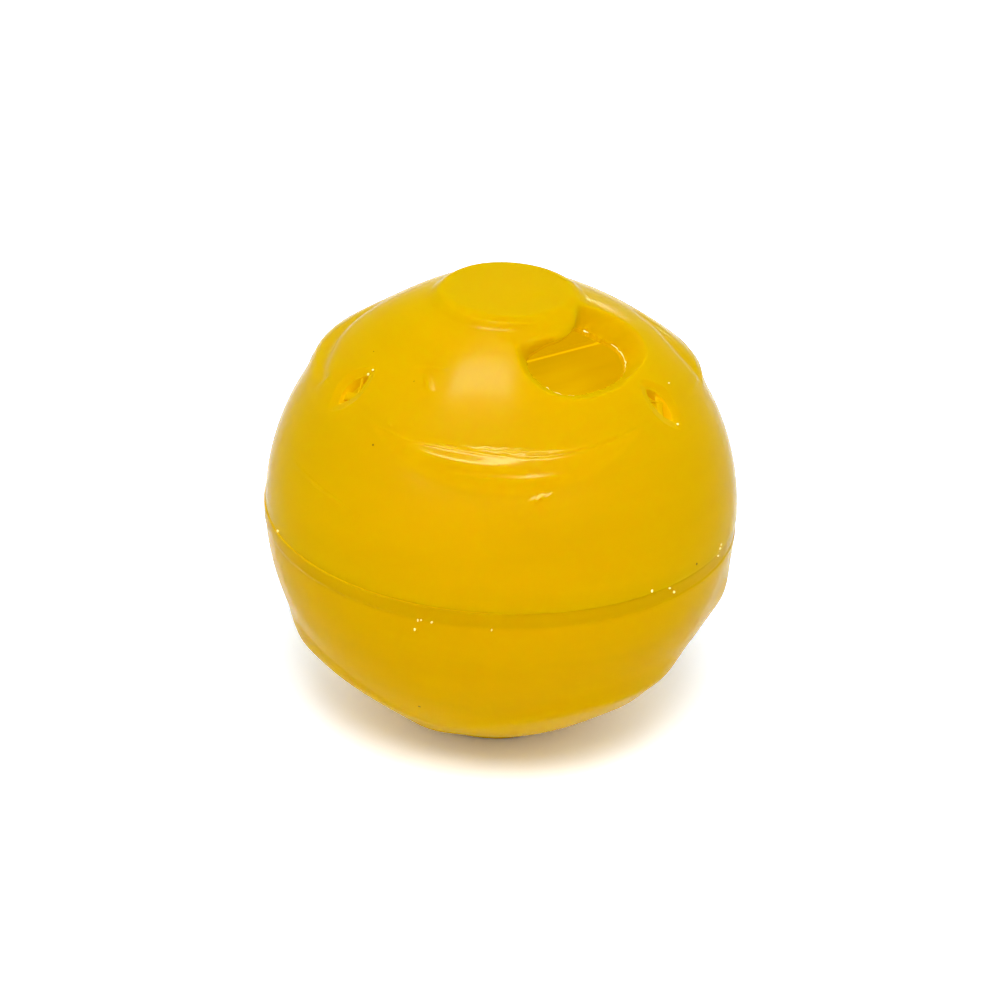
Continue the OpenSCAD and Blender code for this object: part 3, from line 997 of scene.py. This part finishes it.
def build_webs(settings):
    """Thin webs of plastic that the mould left across each slot."""
    half = HalfForm(settings, UPPER_SIZES)
    webs = ShellMesh()
    around = np.arange(10) / 10.0 * math.tau
    for place in SLOT_PLACES:
        turn, lat, lean = (math.radians(v) for v in place)
        out, east, north = local_axes(turn, lat)
        along = east * math.sin(lean) + north * math.cos(lean)
        across = east * math.cos(lean) - north * math.sin(lean)
        top = half.distance(out[None])[0] - SLOT_DEPTH
        for at, tilt, wide, deep in SLOT_WEBS:
            tilt = math.radians(tilt)
            way = across * math.cos(tilt) + along * math.sin(tilt)
            side = along * math.cos(tilt) - across * math.sin(tilt)
            reach = (SLOT_OPEN[1] + WEB_ROOT) / math.cos(tilt)
            last = None
            for t in np.linspace(-1.0, 1.0, 9):
                centre = out * (top - deep - WEB_SAG * (1.0 - t * t)) + along * at
                centre = centre + way * (t * reach)
                half_wide = wide * (1.0 + 0.6 * t * t)
                ring = centre + np.outer(np.cos(around), side * half_wide)
                ids = webs.add(ring + np.outer(np.sin(around), out * WEB_HALF_THICK))
                if last is None:
                    webs.cap(ids[::-1])
                else:
                    webs.band(last, ids)
                last = ids
            webs.cap(last)
    return webs.build("slot_webs", settings.middle, no_painted_shade)


def connect(tree, node, inputs):
    """Sets a node's inputs, by name or number, to plain values, or links them to sockets."""
    for name, given in inputs.items():
        if isinstance(given, bpy.types.NodeSocket):
            tree.links.new(given, node.inputs[name])
        else:
            node.inputs[name].default_value = given


def add_node(tree, kind, inputs=None, **options):
    """Adds a node with its options and then its inputs."""
    node = tree.nodes.new(kind)
    for name, option in options.items():
        setattr(node, name, option)
    connect(tree, node, inputs or {})
    return node


def remap(tree, value, start, end, low, high, smooth=False):
    """Result of a Map Range node that takes start and end to low and high."""
    inputs = {"Value": value, "From Min": start, "From Max": end, "To Min": low, "To Max": high}
    kind = "SMOOTHSTEP" if smooth else "LINEAR"
    return add_node(tree, "ShaderNodeMapRange", inputs, interpolation_type=kind).outputs["Result"]


def calculate(tree, operation, *terms):
    """Result of a Math node."""
    node = add_node(tree, "ShaderNodeMath", dict(enumerate(terms)), operation=operation)
    return node.outputs["Value"]


def mixed(tree, share, a, b):
    """Colour between two, at a share of the second."""
    inputs = {"Factor": share, "A": a, "B": b}
    return add_node(tree, "ShaderNodeMix", inputs, data_type="RGBA").outputs["Result"]


def noise(tree, place, scale, detail, waver=0.0):
    """Value of a noise pattern, at a place given by a socket or else at each point's own."""
    inputs = {"Scale": scale, "Detail": detail, "Distortion": waver}
    if place is not None:
        inputs["Vector"] = place
    return add_node(tree, "ShaderNodeTexNoise", inputs).outputs["Fac"]


def random_value(tree, kind, inputs):
    """Adds a Random Value node."""
    return add_node(tree, "FunctionNodeRandomValue", inputs, data_type=kind)


def growth_tree(name):
    """Node tree for a thin thread along the edges, with flecks at some of the points."""
    tree = bpy.data.node_groups.new(name, "GeometryNodeTree")
    inputs = (("Geometry", "Geometry"), ("Thread", "Float"), ("Fleck", "Float"),
              ("Share", "Float"), ("Seed", "Int"), ("Finish", "Material"))
    for label, kind in inputs:
        tree.interface.new_socket(label, in_out="INPUT", socket_type="NodeSocket" + kind)
    tree.interface.new_socket("Geometry", in_out="OUTPUT", socket_type="NodeSocketGeometry")
    given = add_node(tree, "NodeGroupInput").outputs
    guide, seed = given["Geometry"], given["Seed"]

    curve = add_node(tree, "GeometryNodeMeshToCurve", {"Mesh": guide})
    round_profile = {"Resolution": 6, "Radius": given["Thread"]}
    profile = add_node(tree, "GeometryNodeCurvePrimitiveCircle", round_profile)
    waves = noise(tree, None, THREAD_NOISE, 2.0)
    thread = add_node(tree, "GeometryNodeCurveToMesh", {
        "Fill Caps": True,
        "Curve": curve.outputs["Curve"],
        "Profile Curve": profile.outputs["Curve"],
        "Scale": remap(tree, waves, *THREAD_RANGE, *THREAD_SCALES),
    })

    small_ball = {"Subdivisions": 2, "Radius": given["Fleck"]}
    fleck = add_node(tree, "GeometryNodeMeshIcoSphere", small_ball)
    chosen = random_value(tree, "BOOLEAN", {"Probability": given["Share"], "Seed": seed})
    stretch = {"Min": FLECK_LEAST, "Max": FLECK_MOST, "Seed": seed}
    spin = {"Max": (math.tau, math.tau, math.tau), "Seed": seed}
    copies = add_node(tree, "GeometryNodeInstanceOnPoints", {
        "Points": guide,
        "Selection": chosen.outputs[3],
        "Instance": fleck.outputs["Mesh"],
        "Rotation": random_value(tree, "FLOAT_VECTOR", spin).outputs[0],
        "Scale": random_value(tree, "FLOAT_VECTOR", stretch).outputs[0],
    })

    both = add_node(tree, "GeometryNodeJoinGeometry")
    tree.links.new(thread.outputs["Mesh"], both.inputs[0])
    tree.links.new(copies.outputs["Instances"], both.inputs[0])
    joined = {"Geometry": both.outputs["Geometry"]}
    real = add_node(tree, "GeometryNodeRealizeInstances", joined)
    painted = {"Geometry": real.outputs["Geometry"], "Material": given["Finish"]}
    paint = add_node(tree, "GeometryNodeSetMaterial", painted)
    add_node(tree, "NodeGroupOutput", {"Geometry": paint.outputs["Geometry"]})
    return tree


def grow(name, points, edges, sizes, finish):
    """Grows a thread and flecks on a guide of points and edges and keeps the plain mesh."""
    guide = bpy.data.meshes.new(name)
    guide.from_pydata([tuple(p) for p in points], edges, [])
    piece = bpy.data.objects.new(name, guide)
    bpy.context.scene.collection.objects.link(piece)
    tree = growth_tree(name)
    modifier = piece.modifiers.new("grow", "NODES")
    modifier.node_group = tree
    given = [item for item in tree.interface.items_tree if item.in_out == "INPUT"]
    sockets = {item.name: item.identifier for item in given}
    for label, value in (sizes | {"Finish": finish}).items():
        modifier[sockets[label]] = value
    depsgraph = bpy.context.evaluated_depsgraph_get()
    depsgraph.update()
    mesh = bpy.data.meshes.new_from_object(piece.evaluated_get(depsgraph))
    piece.modifiers.clear()
    piece.data = mesh
    mesh.shade_smooth()
    return piece


def build_torn_edge(settings, finish):
    """The torn thread and burrs where the mouth was trimmed."""
    half = HalfForm(settings, UPPER_SIZES)
    angles, _, _, _, loops = mouth_loops(half)
    degrees = np.degrees(angles)
    d, r = loops[0]
    points = d * (r - 0.1 * MM)[:, None] + (0.0, 0.0, settings.middle)
    torn = np.zeros(len(points), bool)
    for start, end in BURR_ARCS:
        torn |= np.mod(degrees - start, 360.0) < np.mod(end - start, 360.0)
    count = len(points)
    edges = [(i, (i + 1) % count) for i in range(count) if torn[i] and torn[(i + 1) % count]]
    keep = {old: new for new, old in enumerate(np.flatnonzero(torn))}
    edges = [(keep[a], keep[b]) for a, b in edges]
    return grow("mouth_burrs", points[torn], edges, MOUTH_BURRS, finish)


def build_flash(settings, name, places, finish):
    """Flecks of flash left along the joint and at the slots."""
    half = HalfForm(settings, UPPER_SIZES)
    turns, lats = np.radians(np.array(places)).T
    d = direction(turns, lats)
    low = np.abs(lats) < RING_LAT
    outside = half.distance(direction(turns, np.abs(lats)))
    r = np.where(low, settings.radius + 0.1 * MM, outside)
    points = d * r[:, None] + (0.0, 0.0, settings.middle)
    return grow(name, points, [], FLASH, finish)


# Finishes


# Moulding swirls, dark specks, patches of roughness, matt places, the sheen at the limb, the
# dull underside and the painted highlight along the baffle's edge
SWIRL_DETAIL = 5.0
SWIRL_WAVER = 0.6
SPECK_SCALE = 140.0
SPECK_SIZE = 0.075
SPECK_FROM = 0.72
PATCH_SCALE = 60.0
PATCH_DETAIL = 3.0
ROUGH_SPREAD = (0.8, 1.25)
MATT_ROUGH = 0.45
BUMP_DEPTH = 0.1 * MM
LIMB_FACING = (0.74, 0.95)
LOW_HEIGHTS = (8.0 * MM, 45.0 * MM)
LOW_GLOSS = 0.03
EDGE_BAND = (0.2 * MM, 0.55 * MM)
PAINTED_EDGE_LIGHT = 1.5


def point_value(tree, label):
    """One of the values stored at a shell's points."""
    return add_node(tree, "ShaderNodeAttribute", attribute_name=label).outputs["Fac"]


def scaled(tree, colour, share):
    """Colour times a share."""
    inputs = {0: colour, "Scale": share}
    return add_node(tree, "ShaderNodeVectorMath", inputs, operation="SCALE").outputs["Vector"]


def painted_edge_light(tree, place, level):
    """Share that brightens the colour along the front corner of a level edge, along X at a height:
    a painted highlight.
    """
    inputs = {0: place, 1: (0.0, 1.0, 1.0)}
    across = add_node(tree, "ShaderNodeVectorMath", inputs, operation="MULTIPLY")
    inputs = {0: across.outputs["Vector"], 1: (0.0, 0.0, level)}
    off = add_node(tree, "ShaderNodeVectorMath", inputs, operation="DISTANCE")
    return remap(tree, off.outputs["Value"], *EDGE_BAND, PAINTED_EDGE_LIGHT, 1.0, smooth=True)


def plastic(name, colour, look, settings):
    """Glossy translucent plastic with faint moulding swirls and scattered dark specks, and where a
    finish asks, painted shade, a painted highlight on a level edge and a painted glow.
    """
    material = bpy.data.materials.new(name)
    material.use_nodes = True
    tree = material.node_tree
    place = add_node(tree, "ShaderNodeTexCoord").outputs["Object"]

    stretch = {"Scale": settings["swirl_scale"], "Vector": place}
    stretched = add_node(tree, "ShaderNodeMapping", stretch).outputs["Vector"]
    swirl = noise(tree, stretched, 1.0, SWIRL_DETAIL, SWIRL_WAVER)
    darker = (*[c * settings["dark"] for c in colour], 1.0)
    lighter = (*[min(c * settings["light"], 1.0) for c in colour], 1.0)
    base = mixed(tree, swirl, darker, lighter)
    if settings["shaded"]:
        # painted light and shade stored at the shell's points lighten or darken the colour
        base = scaled(tree, base, point_value(tree, "painted_shade"))
    if settings["edge_z"]:
        # painted highlight along the baffle's level edge
        base = scaled(tree, base, painted_edge_light(tree, place, settings["edge_z"]))

    scatter = {"Scale": SPECK_SCALE, "Vector": place}
    cells = add_node(tree, "ShaderNodeTexVoronoi", scatter).outputs
    chosen = add_node(tree, "ShaderNodeSeparateColor", {"Color": cells["Color"]})
    rare = remap(tree, chosen.outputs["Red"], SPECK_FROM, 1.0, 0.0, 1.0)
    size = calculate(tree, "MULTIPLY", rare, SPECK_SIZE)
    speck = calculate(tree, "LESS_THAN", cells["Distance"], size)
    speckled = mixed(tree, speck, base, (*look.speck, 1.0))

    least, most = (settings["rough"] * share for share in ROUGH_SPREAD)
    rough = remap(tree, noise(tree, place, PATCH_SCALE, PATCH_DETAIL), 0.0, 1.0, least, most)
    facing = add_node(tree, "ShaderNodeLayerWeight").outputs["Facing"]
    gloss = (settings["gloss"], settings["limb_gloss"])
    limb = remap(tree, facing, *LIMB_FACING, *gloss, smooth=True)
    split = add_node(tree, "ShaderNodeSeparateXYZ", {"Vector": place})
    low = remap(tree, split.outputs["Z"], *LOW_HEIGHTS, LOW_GLOSS, 1.0)
    sheen = calculate(tree, "MULTIPLY", limb, low)
    if settings["shaded"]:
        rough = calculate(tree, "MULTIPLY_ADD", point_value(tree, "matt"), MATT_ROUGH, rough)
        sheen = calculate(tree, "MULTIPLY", sheen, point_value(tree, "polish"))
    relief = {"Strength": settings["bump"], "Distance": BUMP_DEPTH, "Height": swirl}
    connect(tree, tree.nodes["Principled BSDF"], {
        "Base Color": speckled,
        "Roughness": rough,
        "IOR": 1.45,
        "Normal": add_node(tree, "ShaderNodeBump", relief).outputs["Normal"],
        "Subsurface Weight": settings["subsurface"],
        "Subsurface Radius": (1.0, 0.74, 0.08),
        "Subsurface Scale": 5.0 * MM,
        "Specular IOR Level": sheen,
        # emission is a painted glow, standing in for light that comes through the translucent
        # shells
        "Emission Color": speckled,
        "Emission Strength": settings["painted_glow"],
    })
    return material


SHELL_FINISH = {
    "swirl_scale": (9.0, 9.0, 90.0),
    "dark": 0.93,
    "light": 1.07,
    "rough": 0.17,
    "bump": 0.12,
    "subsurface": 1.0,
    "gloss": 0.009,
    "limb_gloss": 0.022,
    "painted_glow": 0.0,
    "shaded": True,
    "edge_z": 0.0,
}
# The inside, the cut walls, the webs and the burrs get a painted glow for the light that comes
# through the shells
INSIDE_FINISH = SHELL_FINISH | {"rough": 0.3, "subsurface": 0.0, "painted_glow": 0.28, "shaded": False}
WALL_FINISH = SHELL_FINISH | {"rough": 0.35, "subsurface": 0.0, "painted_glow": 0.16, "shaded": False}
WEB_FINISH = SHELL_FINISH | {"subsurface": 0.0, "painted_glow": 0.12, "shaded": False}
BURR_FINISH = WEB_FINISH | {"gloss": 0.3, "limb_gloss": 0.5, "rough": 0.22, "painted_glow": 0.25}
# The maze gets a painted glow for the light that comes through the shells
MAZE_FINISH = {
    "swirl_scale": (16.0, 40.0, 110.0),
    "dark": 0.78,
    "light": 1.2,
    "rough": 0.35,
    "bump": 0.2,
    "subsurface": 0.0,
    "gloss": 0.014,
    "limb_gloss": 0.2,
    "painted_glow": 0.29,
    "shaded": False,
    "edge_z": 0.0,
}


def finish_shell(piece, half, colour, look):
    """Gives a shell the plastic of its outside, its inside and its walls."""
    finishes = (("plastic", colour, SHELL_FINISH), ("inside", look.maze, INSIDE_FINISH),
                ("walls", look.wall, WALL_FINISH))
    for label, tone, finish in finishes:
        piece.data.materials.append(plastic(f"{half}_{label}", tone, look, finish))


# Operators, one for each piece or group of like pieces


class BALL_OT_upper_shell(bpy.types.Operator):
    """Builds the upper shell in place of its CAD solid."""

    bl_idname = "treat_ball.upper_shell"
    bl_label = "Upper Shell"

    def execute(self, context):
        look = context.scene.ball_look
        piece = build_upper(context.scene.ball_form)
        finish_shell(piece, "upper", look.upper, look)
        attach(piece, UPPER_BODY)
        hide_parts("upper_shell")
        return {"FINISHED"}


class BALL_OT_lower_shell(bpy.types.Operator):
    """Builds the lower shell in place of its CAD solid."""

    bl_idname = "treat_ball.lower_shell"
    bl_label = "Lower Shell"

    def execute(self, context):
        look = context.scene.ball_look
        piece = build_lower(context.scene.ball_form)
        finish_shell(piece, "lower", look.lower, look)
        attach(piece, LOWER_BODY)
        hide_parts("lower_shell")
        return {"FINISHED"}


class BALL_OT_webs(bpy.types.Operator):
    """Builds the webs across the slots."""

    bl_idname = "treat_ball.webs"
    bl_label = "Slot Webs"

    def execute(self, context):
        look = context.scene.ball_look
        piece = build_webs(context.scene.ball_form)
        piece.data.materials.append(plastic("web_plastic", look.upper, look, WEB_FINISH))
        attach(piece, UPPER_BODY)
        return {"FINISHED"}


class BALL_OT_burrs(bpy.types.Operator):
    """Builds the torn edge of the mouth and the flecks of flash."""

    bl_idname = "treat_ball.burrs"
    bl_label = "Burrs and Flash"

    def execute(self, context):
        form, look = context.scene.ball_form, context.scene.ball_look
        finish = plastic("burr_plastic", look.burr, look, BURR_FINISH)
        pieces = (
            (build_torn_edge(form, finish), UPPER_BODY, "upper_shell"),
            (build_flash(form, "upper_flash", UPPER_FLASH, finish), UPPER_BODY, "upper_shell"),
            (build_flash(form, "lower_flash", LOWER_FLASH, finish), LOWER_BODY, "lower_shell"),
        )
        for piece, body, slot in pieces:
            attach(piece, body)
        return {"FINISHED"}


class BALL_OT_maze(bpy.types.Operator):
    """Gives the maze floor and the baffle their finish, with a painted highlight along the
    baffle's level edge.
    """

    bl_idname = "treat_ball.maze"
    bl_label = "Maze Finish"

    def execute(self, context):
        look = context.scene.ball_look
        for node in ("maze_floor", "baffle_wall"):
            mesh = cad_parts[node].data
            heights = [v.co.z for v in mesh.vertices if abs(v.co.x) < EDGE_HALF]
            finish = MAZE_FINISH | {"edge_z": max(heights) if node == "baffle_wall" else 0.0}
            mesh.materials.clear()
            mesh.materials.append(plastic(node + "_plastic", look.maze, look, finish))
        return {"FINISHED"}


# Camera, and half the length of the floor's side
CAMERA_TURN = math.radians(-35.0)
CAMERA_LAT = math.radians(27.87)
CAMERA_ROLL = math.radians(2.3)
LENS_MM = 127.15
SENSOR_MM = 36.0
LENS_SHIFT = (-0.0012, 0.0005)
FLOOR_REACH = 3.0
# The floor's white for the light, and for the camera, where it keeps only the ball's own shadow
FLOOR_LIT = (0.85, 0.85, 0.85, 1.0)
FLOOR_SEEN = (1.58, 1.74, 1.95, 1.0)
# Highlights on this plastic are cream, because light spreads through it round each of them
SHINE_TINT = (0.8, 1.0, 0.6)
# Lamps: turn and latitude in degrees, distance, size, share of the power and lean in degrees.
# Only the first lights the ball. The others show on it as highlights.
KEY_LAMP = "key_softbox"
LAMPS = (
    (KEY_LAMP, -35.0, 56.0, 1.0, (0.5, 0.45), 1.0, 0.0),
    ("top_shine", -135.5, 81.1, 1.0, (0.39, 0.15), 2.6, -11.6),
    ("front_shine", -42.0, 47.0, 1.1, (1.5, 0.2), 14.0, 0.0),
    ("side_shine", 125.0, 11.0, 1.0, (0.05, 0.04), 0.013, 0.0),
)


def aim(camera, place, target, roll):
    """Puts the camera at a place, facing a target."""
    facing = (target - place).to_track_quat("-Z", "Y").to_matrix().to_4x4()
    camera.matrix_world = Matrix.Translation(place) @ facing @ Matrix.Rotation(roll, 4, "Z")


def softbox(name, target, turn, lat, distance, size, power, lean):
    """Adds a rectangular area lamp that faces the ball and either lights it or shines on it."""
    only_shine = name != KEY_LAMP
    lamp = bpy.data.lights.new(name, "AREA")
    lamp.shape = "RECTANGLE"
    lamp.size, lamp.size_y = size
    lamp.energy = power
    if only_shine:
        lamp.color = SHINE_TINT
    thing = bpy.data.objects.new(name, lamp)
    thing.visible_diffuse = not only_shine
    thing.visible_glossy = only_shine
    thing.visible_transmission = False
    bpy.context.scene.collection.objects.link(thing)
    away = toward(turn, lat)
    side = direction(CAMERA_TURN + math.radians(90.0 + lean), 0.0)
    side = side - away * (side @ away)
    side /= np.linalg.norm(side)
    columns = Matrix((side, np.cross(away, side), away)).transposed().to_4x4()
    thing.matrix_world = Matrix.Translation(target + Vector(away) * distance) @ columns


class BALL_OT_stage(bpy.types.Operator):
    """Sets up the camera, the pale floor, the white surround and the lamps."""

    bl_idname = "treat_ball.stage"
    bl_label = "Stage"

    def execute(self, context):
        stage = context.scene.ball_stage
        middle = Vector((0.0, 0.0, context.scene.ball_form.middle))
        lens = bpy.data.cameras.new("camera")
        lens.lens = LENS_MM
        lens.sensor_width = SENSOR_MM
        lens.clip_start = 0.01
        camera = bpy.data.objects.new("camera", lens)
        context.scene.collection.objects.link(camera)
        away = Vector(direction(CAMERA_TURN, CAMERA_LAT))
        aim(camera, middle + away * stage.distance, middle, CAMERA_ROLL)
        lens.shift_x, lens.shift_y = LENS_SHIFT
        context.scene.camera = camera

        mesh = bpy.data.meshes.new("floor")
        corners = ((-1, -1), (1, -1), (1, 1), (-1, 1))
        mesh.from_pydata(
            [(x * FLOOR_REACH, y * FLOOR_REACH, 0) for x, y in corners], [], [(0, 1, 2, 3)]
        )
        floor = bpy.data.objects.new("floor", mesh)
        context.scene.collection.objects.link(floor)
        floor.data.materials.append(floor_finish())
        white_surround(context.scene, stage.ambient)

        for name, turn, lat, distance, size, share, lean in LAMPS:
            power = share * (stage.key if name == KEY_LAMP else stage.shine)
            softbox(name, middle, turn, lat, distance, size, power, lean)
        return {"FINISHED"}


def seen_rays(tree):
    """Socket that is 1 for what the camera, reflections and clear parts see, and 0 for light."""
    path = add_node(tree, "ShaderNodeLightPath")
    seen = path.outputs["Is Camera Ray"]
    for ray in ("Is Glossy Ray", "Is Transmission Ray"):
        seen = calculate(tree, "MAXIMUM", seen, path.outputs[ray])
    return seen


def floor_finish():
    """White floor that is bright enough for the camera to keep only the ball's own shadow."""
    material = bpy.data.materials.new("floor_white")
    material.use_nodes = True
    tree = material.node_tree
    connect(tree, tree.nodes["Principled BSDF"], {
        "Base Color": mixed(tree, seen_rays(tree), FLOOR_LIT, FLOOR_SEEN),
        "Roughness": 0.6,
        "Specular IOR Level": 0.0,
    })
    return material


def white_surround(scene, ambient):
    """White for what the camera and reflections see, and a plain level for the light."""
    world = bpy.data.worlds.new("surround")
    world.use_nodes = True
    scene.world = world
    tree = world.node_tree
    strength = remap(tree, seen_rays(tree), 0.0, 1.0, ambient, 1.0)
    white = {"Color": (1.0, 1.0, 1.0, 1.0), "Strength": strength}
    connect(tree, tree.nodes["Background"], white)


class BALL_PT_panel(bpy.types.Panel):
    """Lists the ball's sizes, colours and building steps."""

    bl_label = "Treat Ball"
    bl_idname = "BALL_PT_panel"
    bl_space_type = "VIEW_3D"
    bl_region_type = "UI"
    bl_category = "Treat Ball"

    def draw(self, context):
        for group in (context.scene.ball_form, context.scene.ball_look, context.scene.ball_stage):
            box = self.layout.box()
            for name in group.bl_rna.properties.keys():
                if name not in ("rna_type", "name"):
                    box.prop(group, name)
        for step in STEPS:
            self.layout.operator(step.bl_idname)


STEPS = (
    BALL_OT_upper_shell,
    BALL_OT_lower_shell,
    BALL_OT_webs,
    BALL_OT_burrs,
    BALL_OT_maze,
    BALL_OT_stage,
)
GROUPS = {"ball_form": BallForm, "ball_look": BallLook, "ball_stage": BallStage}


def register():
    for group in GROUPS.values():
        bpy.utils.register_class(group)
    for name, group in GROUPS.items():
        setattr(bpy.types.Scene, name, PointerProperty(type=group))
    for step in STEPS:
        bpy.utils.register_class(step)
    bpy.utils.register_class(BALL_PT_panel)


def unregister():
    bpy.utils.unregister_class(BALL_PT_panel)
    for step in reversed(STEPS):
        bpy.utils.unregister_class(step)
    for name, group in reversed(GROUPS.items()):
        delattr(bpy.types.Scene, name)
        bpy.utils.unregister_class(group)


def main():
    register()
    bpy.context.scene.view_settings.view_transform = "Standard"
    bpy.ops.treat_ball.stage()
    bpy.ops.treat_ball.upper_shell()
    bpy.ops.treat_ball.lower_shell()
    bpy.ops.treat_ball.webs()
    bpy.ops.treat_ball.burrs()
    bpy.ops.treat_ball.maze()


if __name__ == "__main__":
    main()
